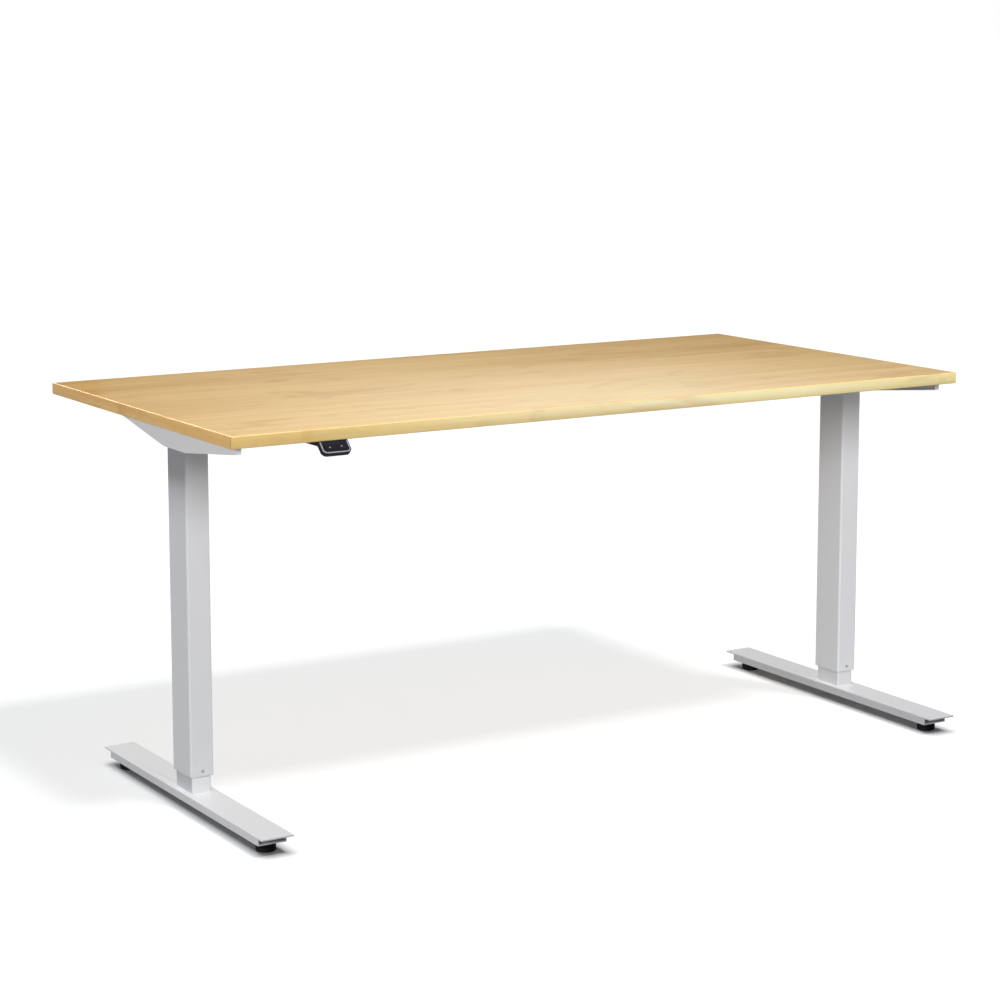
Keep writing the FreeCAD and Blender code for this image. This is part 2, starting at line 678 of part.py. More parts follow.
def handset_housing():
    """Bent housing: flat arm under the top and a panel sloping down in front."""
    slab = on_panel(panel_slab(0, -0.5, -HANDSET_THICKNESS, -BEZEL))
    half = HANDSET_WIDTH / 2
    arm_front = FRONT_Y + 4.0
    arm_low = UNDERSIDE - HANDSET_THICKNESS
    arm = side_prism([(FRONT_Y + HANDSET_REACH, UNDERSIDE), (FRONT_Y + 1.6, UNDERSIDE),
                      (FRONT_Y - PANEL_SETBACK + 1.2, UNDERSIDE - 2.3),
                      (arm_front - 5.8, arm_low - 3.0), (arm_front, arm_low),
                      (FRONT_Y + HANDSET_REACH - 8, arm_low),
                      (FRONT_Y + HANDSET_REACH, arm_low + 3)],
                     HANDSET_X - half, HANDSET_X + half)
    rear = FRONT_Y + HANDSET_REACH
    port = box(HANDSET_X - 7, HANDSET_X + 7, rear - 9, rear + 1, arm_low + 1.5, UNDERSIDE - 1.5)
    wells = [rod(3.9, x, y, 0, arm_low + 2.4) for x, y in handset_screw_places()]
    holes = [rod(2.1, x, y, 0, TOP_HEIGHT) for x, y in handset_screw_places()]
    pocket = on_panel(box(-22.5, 22.5, -20, -4.5, -BEZEL - POCKET_DEPTH, 1))
    return joined([slab, arm]).cut([port, pocket] + wells + holes)


def handset_screw_places():
    """Two screws up through the housing's arm."""
    return [(HANDSET_X + sign * 18, FRONT_Y + 44) for sign in (-1, 1)]


def handset_bezel():
    """Bright rim along the panel's two sides and its lower edge."""
    rim = panel_slab(BEZEL_INSET, 0, -BEZEL, 0)
    return on_panel(rim.cut(panel_slab(BEZEL_INSET + BEZEL_RIM, -2, -BEZEL - 1, 1)))


def handset_face():
    """Dark face plate inside the rim, with a hole for each button."""
    plate = panel_slab(BEZEL_INSET + BEZEL_RIM, 0, -BEZEL, -0.3)
    return on_panel(plate.cut([button_block(sign, BUTTON_GAP, -5, 5) for sign in (-1, 1)]))


def handset_board():
    """Circuit board at the bottom of the panel's pocket."""
    low = -BEZEL - POCKET_DEPTH
    return on_panel(box(-22, 22, -19.5, -5, low, low + BOARD_THICKNESS))


def button(sign):
    """Button cap, standing just proud of the face."""
    low = -BEZEL - POCKET_DEPTH + BOARD_THICKNESS + BUTTON_TRAVEL + 0.4
    return on_panel(button_block(sign, 0, low, 0.2))


# ---- write every node ---------------------------------------------------
def save_pair(name, shape):
    """Write a piece for both ends of the desk."""
    save(name + "_left", shape)
    save(name + "_right", mirrored(shape))


def both_ends(shapes):
    """The left end's solids and their mirror images, in one node."""
    return group(shapes + [mirrored(shape) for shape in shapes])


def main():
    os.makedirs("parts", exist_ok=True)
    pairs = {"foot_plate": foot_plate, "foot_channel": foot_channel, "foot_bolts": foot_bolts,
             "column_base": column_base, "inner_tube": inner_tube, "nut_carrier": nut_carrier,
             "spindle_nut": spindle_nut, "inner_guide": inner_guide, "outer_guide": outer_guide,
             "outer_tube": outer_tube, "gearbox": gearbox, "thrust_bearing": thrust_bearing,
             "spindle": spindle, "motor": motor, "side_bracket": side_bracket,
             "head_plate": head_plate, "beam_end": beam_end}
    for name, build in pairs.items():
        save_pair(name, build())
    for place, y in pad_places().items():
        save_pair("leveller_" + place, leveller(y))
    for place, y in rail_places().items():
        save("centre_rail_" + place, centre_rail(y))
    save("guide_screws", both_ends(guide_screws()))
    save("head_bolts", both_ends(head_bolts()))
    save("board_screws", both_ends(board_screws()))
    save("clamp_screws", group(clamp_screws()))
    save("tabletop_board", tabletop_board())
    save("edge_banding", edge_banding())
    save("control_box_case", control_box_case())
    save("control_box_lid", control_box_lid())
    save("control_sockets", control_sockets())
    save("mains_inlet", mains_inlet())
    save("control_board", control_board())
    save("box_screws", group(fixing_screws(box_screw_places(), UNDERSIDE - BOX_WALL)))
    save("handset_housing", handset_housing())
    save("handset_bezel", handset_bezel())
    save("handset_face", handset_face())
    save("handset_board", handset_board())
    low = UNDERSIDE - HANDSET_THICKNESS + 2.4
    save("handset_screws", group(fixing_screws(handset_screw_places(), low)))
    save("button_up", button(-1))
    save("button_down", button(1))


main()
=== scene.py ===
import json
import math

import bmesh
import bpy
from mathutils import Matrix, Vector

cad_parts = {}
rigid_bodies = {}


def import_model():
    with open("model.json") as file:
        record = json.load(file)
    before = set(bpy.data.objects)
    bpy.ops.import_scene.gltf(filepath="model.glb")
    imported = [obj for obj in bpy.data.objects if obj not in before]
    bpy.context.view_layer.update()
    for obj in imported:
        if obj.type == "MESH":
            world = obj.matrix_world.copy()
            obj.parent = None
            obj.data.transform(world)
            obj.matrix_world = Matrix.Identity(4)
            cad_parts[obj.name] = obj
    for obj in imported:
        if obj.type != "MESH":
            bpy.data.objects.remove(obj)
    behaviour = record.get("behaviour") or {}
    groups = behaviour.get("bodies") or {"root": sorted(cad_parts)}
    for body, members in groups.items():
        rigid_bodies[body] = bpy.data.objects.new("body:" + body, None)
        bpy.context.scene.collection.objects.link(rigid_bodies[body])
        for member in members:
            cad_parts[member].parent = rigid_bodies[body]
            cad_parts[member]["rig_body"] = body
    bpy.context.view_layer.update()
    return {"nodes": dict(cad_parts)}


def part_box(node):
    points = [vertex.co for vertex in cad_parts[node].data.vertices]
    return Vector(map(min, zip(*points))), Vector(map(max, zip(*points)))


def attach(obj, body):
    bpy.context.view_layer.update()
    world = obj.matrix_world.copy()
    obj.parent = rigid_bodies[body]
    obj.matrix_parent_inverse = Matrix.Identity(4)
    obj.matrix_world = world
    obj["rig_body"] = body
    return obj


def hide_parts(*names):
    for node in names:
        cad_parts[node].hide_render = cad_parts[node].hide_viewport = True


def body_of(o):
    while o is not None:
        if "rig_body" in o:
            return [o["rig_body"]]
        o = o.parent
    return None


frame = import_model()

# Dresses the CAD desk. Lengths are in metres, Z is up and the user sits at -Y.
MM = 0.001
BOTH = ("left", "right")
NODES = frame["nodes"]
TOUCHING = 0.01 * MM            # points closer than this are the same point
X, Y, Z = Vector((1, 0, 0)), Vector((0, 1, 0)), Vector((0, 0, 1))


# ---- node materials -------------------------------------------------------
class Finish:
    """One procedural material. Texture positions are the object's own, in metres."""

    def __init__(self, name, **sockets):
        self.material = bpy.data.materials.new(name)
        self.material.use_nodes = True
        self.tree = self.material.node_tree
        self.shader = self.tree.nodes["Principled BSDF"]
        self.place = self.node("ShaderNodeTexCoord").outputs["Object"]
        for key, value in sockets.items():
            self.set(key.replace("_", " "), value)

    def set(self, socket, value):
        """Give a shader input a constant or a link."""
        self.feed(self.shader.inputs[socket], value)

    def feed(self, socket, value):
        """Give any input a constant or a link."""
        if isinstance(value, bpy.types.NodeSocket):
            self.tree.links.new(value, socket)
        elif socket.type == "RGBA" and len(value) == 3:
            socket.default_value = (*value, 1)
        else:
            socket.default_value = value

    def node(self, kind, inputs=None, **settings):
        """A new node with its settings, and constants or links for its inputs."""
        item = self.tree.nodes.new(kind)
        for key, value in settings.items():
            setattr(item, key, value)
        for key, value in (inputs or {}).items():
            self.feed(item.inputs[key], value)
        return item

    def stretched(self, scale):
        """The position times scale, in waves per metre: one number or one per axis."""
        if isinstance(scale, (int, float)):
            scale = (scale, scale, scale)
        return self.node("ShaderNodeMapping", {"Vector": self.place, "Scale": scale}).outputs[0]

    def noise(self, scale, detail=2.0, roughness=0.5, distortion=0.0):
        """Noise from 0 to 1, with scale in waves per metre."""
        return self.node("ShaderNodeTexNoise", {
            "Vector": self.stretched(scale), "Scale": 1.0, "Detail": detail,
            "Roughness": roughness, "Distortion": distortion}).outputs[0]

    def remap(self, value, low, high, to_low=0.0, to_high=1.0):
        """Clamp a value to low..high and stretch it to to_low..to_high."""
        return self.node("ShaderNodeMapRange", {
            "Value": value, "From Min": low, "From Max": high,
            "To Min": to_low, "To Max": to_high}).outputs[0]

    def math(self, operation, a, b=0.0):
        """One step of arithmetic."""
        item = self.node("ShaderNodeMath", operation=operation)
        self.feed(item.inputs[0], a)
        self.feed(item.inputs[1], b)
        return item.outputs[0]

    def mix(self, factor, a, b, blend="MIX"):
        """Two colours, mixed."""
        item = self.node("ShaderNodeMix", data_type="RGBA", blend_type=blend)
        self.feed(item.inputs[0], factor)
        self.feed(item.inputs[6], a)
        self.feed(item.inputs[7], b)
        return item.outputs[2]

    def bump(self, height, depth):
        """Bump of the given depth in metres."""
        item = self.node("ShaderNodeBump", {"Height": height, "Distance": depth, "Strength": 1.0})
        self.set("Normal", item.outputs[0])

    def axis(self, name):
        """One coordinate of the position, in metres."""
        return self.node("ShaderNodeSeparateXYZ", {"Vector": self.place}).outputs[name]

    def band(self, value, centre, half_width):
        """1 inside a narrow band of value, 0 outside."""
        away = self.math("ABSOLUTE", self.math("SUBTRACT", value, centre))
        return self.math("LESS_THAN", away, half_width)


def along(direction, length, across):
    """Texture scale with its grain along X or Y: waves per metre along and across it."""
    return (length, across, across) if direction == "X" else (across, length, across)


MAPLE_LIGHT = (0.705, 0.448, 0.162)
MAPLE_MID = (0.628, 0.376, 0.120)
MAPLE_DARK = (0.525, 0.276, 0.078)


def maple_colour(finish, direction):
    """Pale maple with long soft streaks, fine fibres and a few warm clouds.

    Gives the colour, and the fibres and streaks for bump and gloss."""
    streaks = finish.noise(along(direction, 1.3, 34.0), detail=5.0, roughness=0.62,
                           distortion=0.35)
    lines = finish.noise(along(direction, 2.6, 120.0), detail=4.0, roughness=0.6, distortion=0.3)
    clouds = finish.noise(along(direction, 1.6, 6.0), detail=3.0, distortion=0.6)
    fibres = finish.noise(along(direction, 11.0, 430.0), detail=2.0)
    marks = finish.noise(along(direction, 6.0, 13.0), detail=3.0, roughness=0.65, distortion=0.9)
    colour = finish.mix(finish.remap(streaks, 0.32, 0.68), MAPLE_MID, MAPLE_LIGHT)
    colour = finish.mix(finish.remap(clouds, 0.50, 0.74, 0.0, 0.50), colour, MAPLE_DARK)
    colour = finish.mix(finish.remap(marks, 0.56, 0.70, 0.0, 0.62), colour, MAPLE_DARK)
    colour = finish.mix(finish.remap(lines, 0.54, 0.72, 0.0, 0.30), colour, MAPLE_DARK)
    fibre_tone = finish.remap(fibres, 0.25, 0.75, 0.93, 1.05)
    tone = finish.node("ShaderNodeCombineColor", {
        "Red": fibre_tone, "Green": fibre_tone, "Blue": fibre_tone}).outputs[0]
    return finish.mix(1.0, colour, tone, "MULTIPLY"), fibres, streaks


def laminate():
    """Melamine face of the board."""
    finish = Finish("maple_laminate", Specular_IOR_Level=0.25)
    colour, fibres, streaks = maple_colour(finish, "X")
    finish.set("Base Color", colour)
    finish.set("Roughness", finish.remap(streaks, 0.2, 0.8, 0.09, 0.12))
    finish.bump(fibres, 0.006 * MM)
    return finish.material


GLUE = (0.20, 0.105, 0.035)
GLUE_HALF_WIDTH = 0.6 * MM
GLUE_COVER = 0.75


def lipping():
    """Edge lipping: the grain follows each strip, with a thin glue line at its joints."""
    finish = Finish("maple_lipping", Specular_IOR_Level=0.5)
    long_colour, fibres, _ = maple_colour(finish, "X")
    end_colour, end_fibres, _ = maple_colour(finish, "Y")
    normal = finish.node("ShaderNodeNewGeometry").outputs["True Normal"]
    normal_x = finish.node("ShaderNodeSeparateXYZ", {"Vector": normal}).outputs["X"]
    board_low, board_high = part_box("tabletop_board")
    is_end = finish.math("GREATER_THAN", finish.math("ABSOLUTE", normal_x), 0.5)
    colour = finish.mix(is_end, long_colour, end_colour)
    y = finish.axis("Y")
    glue = finish.math("MAXIMUM", finish.band(y, board_low.y, GLUE_HALF_WIDTH),
                       finish.band(y, board_high.y, GLUE_HALF_WIDTH))
    glue = finish.math("MULTIPLY", glue, GLUE_COVER)
    finish.set("Base Color", finish.mix(glue, colour, GLUE))
    finish.set("Roughness", finish.remap(fibres, 0.2, 0.8, 0.30, 0.42))
    finish.bump(finish.math("ADD", fibres, end_fibres), 0.02 * MM)
    return finish.material


COAT_LIGHT = (0.690, 0.695, 0.715)
COAT_DARK = (0.640, 0.645, 0.665)
COAT_DUST = (0.600, 0.600, 0.605)
COAT_RUBBED = (0.780, 0.785, 0.800)


def powder_coat():
    """Light grey powder coat: orange peel, faint speckle and slightly rubbed edges."""
    finish = Finish("powder_coat", Metallic=0.0, Specular_IOR_Level=0.5)
    speckle = finish.noise(1500.0, detail=1.0)
    drift = finish.noise(3.0, detail=2.0)
    base = finish.mix(finish.remap(speckle, 0.3, 0.7), COAT_DARK, COAT_LIGHT)
    base = finish.mix(finish.remap(drift, 0.3, 0.7, 0.0, 0.10), base, COAT_DUST)
    edge = finish.node("ShaderNodeNewGeometry").outputs["Pointiness"]
    rubbed = finish.math("MULTIPLY", finish.remap(edge, 0.53, 0.60), 0.35)
    finish.set("Base Color", finish.mix(rubbed, base, COAT_RUBBED))
    finish.set("Roughness", finish.remap(drift, 0.3, 0.7, 0.40, 0.50))
    finish.bump(finish.noise(420.0, detail=2.0), 0.035 * MM)
    return finish.material


def metal(name, colour, shade, roughness, grain, depth):
    """Bare or plated metal: cloudy tone, fine grain and matching roughness."""
    finish = Finish(name, Metallic=1.0)
    cloud = finish.noise(60.0, detail=3.0, distortion=0.4)
    fine = finish.noise(grain, detail=2.0)
    finish.set("Base Color", finish.mix(finish.remap(cloud, 0.3, 0.7), colour, shade))
    finish.set("Roughness", finish.remap(fine, 0.25, 0.75, roughness - 0.07, roughness + 0.09))
    finish.bump(fine, depth)
    return finish.material


def spangled_zinc():
    """Galvanised sheet, with its crystal pattern."""
    finish = Finish("spangled_zinc", Metallic=1.0)
    spangle = finish.node("ShaderNodeTexVoronoi", {
        "Vector": finish.stretched(90.0), "Scale": 1.0}).outputs["Color"]
    tone = finish.node("ShaderNodeSeparateColor", {"Color": spangle}).outputs[0]
    finish.set("Base Color", finish.mix(tone, (0.48, 0.50, 0.53), (0.66, 0.68, 0.70)))
    finish.set("Roughness", finish.remap(tone, 0.0, 1.0, 0.28, 0.48))
    finish.bump(finish.noise(500.0), 0.01 * MM)
    return finish.material


def plastic(name, colour, shade, roughness, texture, depth, specular=0.5):
    """Moulded plastic with a spark-eroded texture and faint handling marks."""
    finish = Finish(name, Specular_IOR_Level=specular)
    marks = finish.noise(45.0, detail=4.0, roughness=0.65, distortion=0.8)
    grain = finish.noise(texture, detail=2.0)
    finish.set("Base Color", finish.mix(finish.remap(marks, 0.35, 0.70), colour, shade))
    finish.set("Roughness", finish.remap(marks, 0.3, 0.7, roughness - 0.06, roughness + 0.07))
    finish.bump(grain, depth)
    return finish.material


def circuit_board():
    """Green lacquered board with copper tracks under the lacquer."""
    finish = Finish("circuit_lacquer", Specular_IOR_Level=0.5, Roughness=0.28)
    tracks = finish.node("ShaderNodeTexBrick", {
        "Vector": finish.stretched(140.0), "Scale": 1.0, "Mortar Size": 0.06,
        "Color1": (0.010, 0.090, 0.035), "Color2": (0.012, 0.105, 0.040),
        "Mortar": (0.030, 0.200, 0.085)})
    cloud = finish.noise(80.0)
    finish.set("Base Color", finish.mix(finish.remap(cloud, 0.3, 0.7, 0.0, 0.3),
                                        tracks.outputs["Color"], (0.006, 0.060, 0.024)))
    finish.bump(tracks.outputs["Fac"], 0.03 * MM)
    return finish.material


SLOT_MATERIALS = {
    "tabletop_laminate": laminate(),
    "edge_lipping": lipping(),
    "frame_powder_coat": powder_coat(),
    "zinc_steel": metal(
        "zinc_steel_finish", (0.62, 0.63, 0.64), (0.50, 0.51, 0.53),
        roughness=0.30, grain=700.0, depth=0.01 * MM),
    "zinc_plate": spangled_zinc(),
    "slide_plastic": plastic(
        "acetal", (0.62, 0.62, 0.60), (0.56, 0.56, 0.53),
        roughness=0.42, texture=900.0, depth=0.01 * MM),
    "cast_housing": metal(
        "cast_aluminium", (0.52, 0.53, 0.54), (0.42, 0.43, 0.44),
        roughness=0.50, grain=380.0, depth=0.12 * MM),
    "motor_can": metal(
        "motor_steel", (0.16, 0.165, 0.17), (0.12, 0.122, 0.126),
        roughness=0.38, grain=600.0, depth=0.02 * MM),
    "pad_plastic": plastic(
        "pad_nylon", (0.0035, 0.0035, 0.004), (0.006, 0.006, 0.006),
        roughness=0.50, texture=900.0, depth=0.03 * MM, specular=0.2),
    "box_plastic": plastic(
        "box_abs", (0.016, 0.016, 0.017), (0.024, 0.024, 0.025),
        roughness=0.50, texture=1100.0, depth=0.04 * MM),
    "circuit_board": circuit_board(),
    "handset_plastic": plastic(
        "handset_abs", (0.0080, 0.0080, 0.0105), (0.012, 0.012, 0.016),
        roughness=0.52, texture=1400.0, depth=0.03 * MM, specular=0.25),
    "handset_silver": plastic(
        "handset_trim", (0.36, 0.36, 0.39), (0.32, 0.32, 0.35),
        roughness=0.34, texture=1600.0, depth=0.01 * MM),
    "handset_gloss": plastic(
        "handset_gloss_black", (0.014, 0.014, 0.021), (0.019, 0.019, 0.028),
        roughness=0.34, texture=1800.0, depth=0.006 * MM, specular=0.30),
}


def repaint_nodes():
    """Every carried-over CAD node takes the node material of its slot."""
    for node in NODES.values():
        for index, old in enumerate(node.data.materials):
            node.data.materials[index] = SLOT_MATERIALS[old.name.split(".")[0]]


repaint_nodes()


# ---- making pieces --------------------------------------------------------
SMOOTH_BELOW = math.radians(38)     # faces that meet at less than this shade as one
BEVEL_ABOVE = math.radians(32)      # edges of CAD nodes sharper than this get a radius


def piece(name, mesh_maker, slot, body="top_frame", smooth=True):
    """A new object from a function that fills a bmesh; it rides on a body."""
    mesh = bpy.data.meshes.new(name)
    built = bmesh.new()
    mesh_maker(built)
    bmesh.ops.recalc_face_normals(built, faces=built.faces)
    built.to_mesh(mesh)
    built.free()
    mesh.materials.append(SLOT_MATERIALS[slot])
    if smooth:
        mesh.shade_smooth()
        mesh.set_sharp_from_angle(angle=SMOOTH_BELOW)
    item = bpy.data.objects.new(name, mesh)
    bpy.context.scene.collection.objects.link(item)
    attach(item, body)
    return item


def soften(names, width):
    """Small radii on the sharp edges of CAD nodes, by modifiers only."""
    for name in names:
        node = NODES[name]
        weld = node.modifiers.new("weld", "WELD")
        weld.merge_threshold = TOUCHING
        bevel = node.modifiers.new("bevel", "BEVEL")
        bevel.width = width
        bevel.segments = 2
        bevel.limit_method = "ANGLE"
        bevel.angle_limit = BEVEL_ABOVE
        bevel.use_clamp_overlap = True
        shading = node.modifiers.new("shading", "WEIGHTED_NORMAL")
        shading.keep_sharp = False


def turned(built, place, rings, segments):
    """A turned body. rings are (height, radius function of the angle); place is a matrix."""
    loops = []
    for height, radius in rings:
        loop = []
        for step in range(segments):
            angle = 2 * math.pi * step / segments
            reach = radius(angle)
            point = Vector((reach * math.cos(angle), reach * math.sin(angle), height))
            loop.append(built.verts.new(place @ point))
        loops.append(loop)
    for low, high in zip(loops, loops[1:]):
        for step in range(segments):
            after = (step + 1) % segments
            built.faces.new((low[step], low[after], high[after], high[step]))
    built.faces.new(list(reversed(loops[0])))
    built.faces.new(loops[-1])


def circle(radius):
    """Radius function of a circle."""
    return lambda angle: radius


def hexagon(across_flats):
    """Radius function of a hexagon, a flat facing the first angle."""
    def radius(angle):
        sector = math.radians(60)
        return across_flats / 2 / math.cos((angle + sector / 2) % sector - sector / 2)
    return radius


def lobed(radius, depth, count):
    """Radius function with count waves: a star recess or a ribbed grip."""
    return lambda angle: radius + depth * math.cos(count * angle)


def towards(point, direction):
    """Placement with its local Z along direction."""
    turn = Vector(direction).to_track_quat("Z", "Y").to_matrix().to_4x4()
    return Matrix.Translation(Vector(point)) @ turn


def islands(name):
    """Box of each separate solid in a CAD node, as (low, high) pairs."""
    built = bmesh.new()
    built.from_mesh(NODES[name].data)
    bmesh.ops.remove_doubles(built, verts=built.verts, dist=TOUCHING)
    unseen = set(built.verts)
    found = []
    for seed in built.verts:
        if seed not in unseen:
            continue
        unseen.discard(seed)
        stack, points = [seed], []
        while stack:
            vertex = stack.pop()
            points.append(vertex.co.copy())
            for edge in vertex.link_edges:
                other = edge.other_vert(vertex)
                if other in unseen:
                    unseen.discard(other)
                    stack.append(other)
        low = Vector([min(p[i] for p in points) for i in range(3)])
        high = Vector([max(p[i] for p in points) for i in range(3)])
        found.append((low, high))
    built.free()
    return found


def block(built, low, high):
    """A plain box between two corners. Gives its edges."""
    corners = bmesh.ops.create_cube(built, size=1.0)["verts"]
    for vertex in corners:
        vertex.co = Vector([low[i] + (vertex.co[i] + 0.5) * (high[i] - low[i])
                            for i in range(3)])
    return [edge for edge in built.edges if edge.verts[0] in corners]


def round_off(built, edges, radius, segments=3):
    """Rounds the given edges."""
    bmesh.ops.bevel(built, geom=edges, offset=radius, segments=segments, profile=0.5,
                    affect="EDGES")


# ---- fixings --------------------------------------------------------------
def domed_screw(built, place, head_radius, head_height, shank_radius, length, star=True):
    """Screw with a domed head and a star or hexagon recess. Local Z points into the work."""
    recess = head_radius * 0.46
    floor = head_height * 0.62
    edge = head_height * 0.30
    mouth = lobed(recess, recess * 0.13, 6) if star else hexagon(recess * 1.9)
    rings = [(floor, circle(recess * 0.25)), (floor, mouth), (0.0, mouth),
             (0.0, circle(head_radius * 0.62)), (edge * 0.35, circle(head_radius * 0.86)),
             (edge, circle(head_radius)), (head_height, circle(head_radius)),
             (head_height, circle(shank_radius))]
    turns = max(2, int((length - head_height) / (0.5 * shank_radius)))
    for step in range(1, turns + 1):
        height = head_height + (length - head_height) * step / turns
        radius = shank_radius * (0.82 if step % 2 else 1.0)
        rings.append((height, circle(radius)))
    turned(built, place, rings, segments=36)


def hex_bolt(built, place, across, head_height, shank_radius, length):
    """Hexagon bolt with a chamfered head and a pressed washer face."""
    bevel = head_height * 0.14
    rings = [(0.0, circle(across * 0.43)), (bevel, hexagon(across)),
             (head_height * 0.9, hexagon(across)), (head_height * 0.9, circle(across * 0.48)),
             (head_height, circle(across * 0.48)), (head_height, circle(shank_radius)),
             (length - shank_radius * 0.3, circle(shank_radius)),
             (length, circle(shank_radius * 0.8))]
    turned(built, place, rings, segments=36)


def replace_screws(node, name, body, direction, maker):
    """Detailed screws where the CAD node has its plain ones."""
    def fill(built):
        for low, high in islands(node):
            centre = (low + high) / 2
            heading = direction(centre)
            span = abs((high - low).dot(heading))
            start = centre - heading * span / 2
            maker(built, towards(start, heading), span)
    item = piece(name, fill, "zinc_steel", body)
    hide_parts(node)


def upwards(_):
    """Most screws go straight up."""
    return Z


def into_column(centre):
    """Guide screws point from each outer face to the middle of the tube."""
    low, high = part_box("outer_tube_left")
    return Y if centre.y < (low.y + high.y) / 2 else -Y


def domed(head_radius, head_height, shank_radius, star=True):
    """Maker of domed screws of one size, in mm."""
    return lambda built, place, length: domed_screw(
        built, place, head_radius * MM, head_height * MM, shank_radius * MM, length, star)


def hexagonal(across, head_height, shank_radius):
    """Maker of hexagon bolts of one size, in mm."""
    return lambda built, place, length: hex_bolt(
        built, place, across * MM, head_height * MM, shank_radius * MM, length)


def dress_fixings():
    """Every screw and bolt of the desk."""
    for node, name, direction, maker in (
            ("board_screws", "board_screw_set", upwards, domed(4.6, 2.4, 2.5)),
            ("box_screws", "box_screw_set", upwards, domed(3.8, 2.2, 2.0)),
            ("handset_screws", "handset_screw_set", upwards, domed(3.8, 2.2, 2.0)),
            ("clamp_screws", "clamp_screw_set", upwards, domed(5.0, 2.6, 3.0, star=False)),
            ("guide_screws", "guide_screw_set", into_column, domed(2.9, 1.0, 1.6)),
            ("head_bolts", "head_bolt_set", upwards, hexagonal(10.0, 4.0, 3.0))):
        replace_screws(node, name, "top_frame", direction, maker)
    for side in BOTH:
        replace_screws(f"foot_bolts_{side}", f"foot_bolt_set_{side}", f"{side}_leg", upwards,
                       hexagonal(12.2, 5.3, 4.0))


dress_fixings()


# ---- levelling pads -------------------------------------------------------
def dress_leveller(name):
    """Ribbed nylon pad with a soft lower edge and a threaded stud."""
    low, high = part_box(name)
    centre = (low + high) / 2
    place = Matrix.Translation(Vector((centre.x, centre.y, 0.0)))
    outer = (high.x - low.x) / 2
    top = high.z
    stud = 4.0 * MM

    def insets(*pairs):
        """Rings from (height, distance in from the rim) in mm."""
        return [(height * MM, circle(outer - inset * MM)) for height, inset in pairs]

    def fill(built):
        grip = lobed(outer - 0.35 * MM, 0.35 * MM, 36)
        rings = insets((0.0, 2.4), (0.4, 1.0), (1.4, 0.2), (2.4, 0.0), (3.4, 0.0))
        rings += [(3.8 * MM, grip), (9.6 * MM, grip)]
        rings += insets((10.0, 0.0), (11.0, 0.0), (12.4, 0.6), (13.6, 1.2), (14.4, 2.2),
                        (16.6, 4.6), (17.0, 5.4))
        rings.append((17.0 * MM, circle(stud)))
        pitch = 1.25 * MM
        turns = int((top - 18.0 * MM) / pitch)
        for step in range(turns * 2):
            height = 17.4 * MM + step * pitch / 2
            rings.append((height, circle(stud if step % 2 else stud - 0.6 * MM)))
        rings.append((top - 0.8 * MM, circle(stud)))
        rings.append((top, circle(stud - 0.8 * MM)))
        turned(built, place, rings, segments=144)
    item = piece(f"{name}_ribbed", fill, "pad_plastic", name)
    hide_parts(name)


for end in ("front", "rear"):
    for side in BOTH:
        dress_leveller(f"leveller_{end}_{side}")


# ---- weld beads -----------------------------------------------------------
STITCH_PLACES = (0.14, 0.38, 0.62, 0.86)    # shares of the foot's length
STITCH_LENGTH = 32 * MM


def bead(built, start, end, radius):
    """A rippled weld bead between two points, half sunk in the joint."""
    run = end - start
    ripple = 1.6 * MM
    steps = max(4, int(run.length / ripple) * 3)
    place = towards(start, run)
    rings = [(0.0, circle(radius * 0.3))]
    for step in range(1, steps):
        wave = 1.0 + 0.10 * math.cos(2 * math.pi * step / 3)
        ends = min(1.0, 0.55 + 0.25 * min(step, steps - step))
        rings.append((run.length * step / steps, circle(radius * wave * ends)))
    rings.append((run.length, circle(radius * 0.3)))
    turned(built, place, rings, segments=10)


def dress_foot_welds(side):
    """Stitch welds between the foot's plate and both sides of its channel."""
    low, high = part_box(f"foot_channel_{side}")

    def stitches(built):
        for x in (low.x, high.x):
            for share in STITCH_PLACES:
                middle = low.y + (high.y - low.y) * share
                start = Vector((x, middle - STITCH_LENGTH / 2, high.z - 0.5 * MM))
                bead(built, start, start + STITCH_LENGTH * Y, 1.5 * MM)
    piece(f"foot_welds_{side}", stitches, "frame_powder_coat", f"{side}_leg")


def dress_head_welds(side):
    """Beads along the front and rear of the tube, under its head plate."""
    low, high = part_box(f"outer_tube_{side}")
    plate_low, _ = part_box(f"head_plate_{side}")
    z = plate_low.z - 0.4 * MM
    corner = 6 * MM

    def collar(built):
        for y in (low.y, high.y):
            bead(built, Vector((low.x + corner, y, z)), Vector((high.x - corner, y, z)),
                 1.6 * MM)
    piece(f"head_welds_{side}", collar, "frame_powder_coat", "top_frame")


for side in BOTH:
    dress_foot_welds(side)
    dress_head_welds(side)


# ---- columns --------------------------------------------------------------
BESIDE_CORNER = 0.9 * MM


def tube_outline(low, high, corner, inset):
    """Rounded rectangle round a box, moved in by inset. One more point stands beside
    each end of a corner's arc, so that the flats shade flat."""
    radius = corner - inset
    centre = (low + high) / 2
    reach_x = (high.x - low.x) / 2 - corner
    reach_y = (high.y - low.y) / 2 - corner
    points = []
    for quarter, (sign_x, sign_y) in enumerate(((1, 1), (-1, 1), (-1, -1), (1, -1))):
        hub = Vector((centre.x + sign_x * reach_x, centre.y + sign_y * reach_y))
        arc = []
        for step in range(9):
            angle = math.radians(90 * quarter + 90 * step / 8)
            arc.append(hub + radius * Vector((math.cos(angle), math.sin(angle))))
        start, end = math.radians(90 * quarter), math.radians(90 * quarter + 90)
        before = arc[0] - BESIDE_CORNER * Vector((-math.sin(start), math.cos(start)))
        after = arc[-1] + BESIDE_CORNER * Vector((-math.sin(end), math.cos(end)))
        points += [before] + arc + [after]
    return points


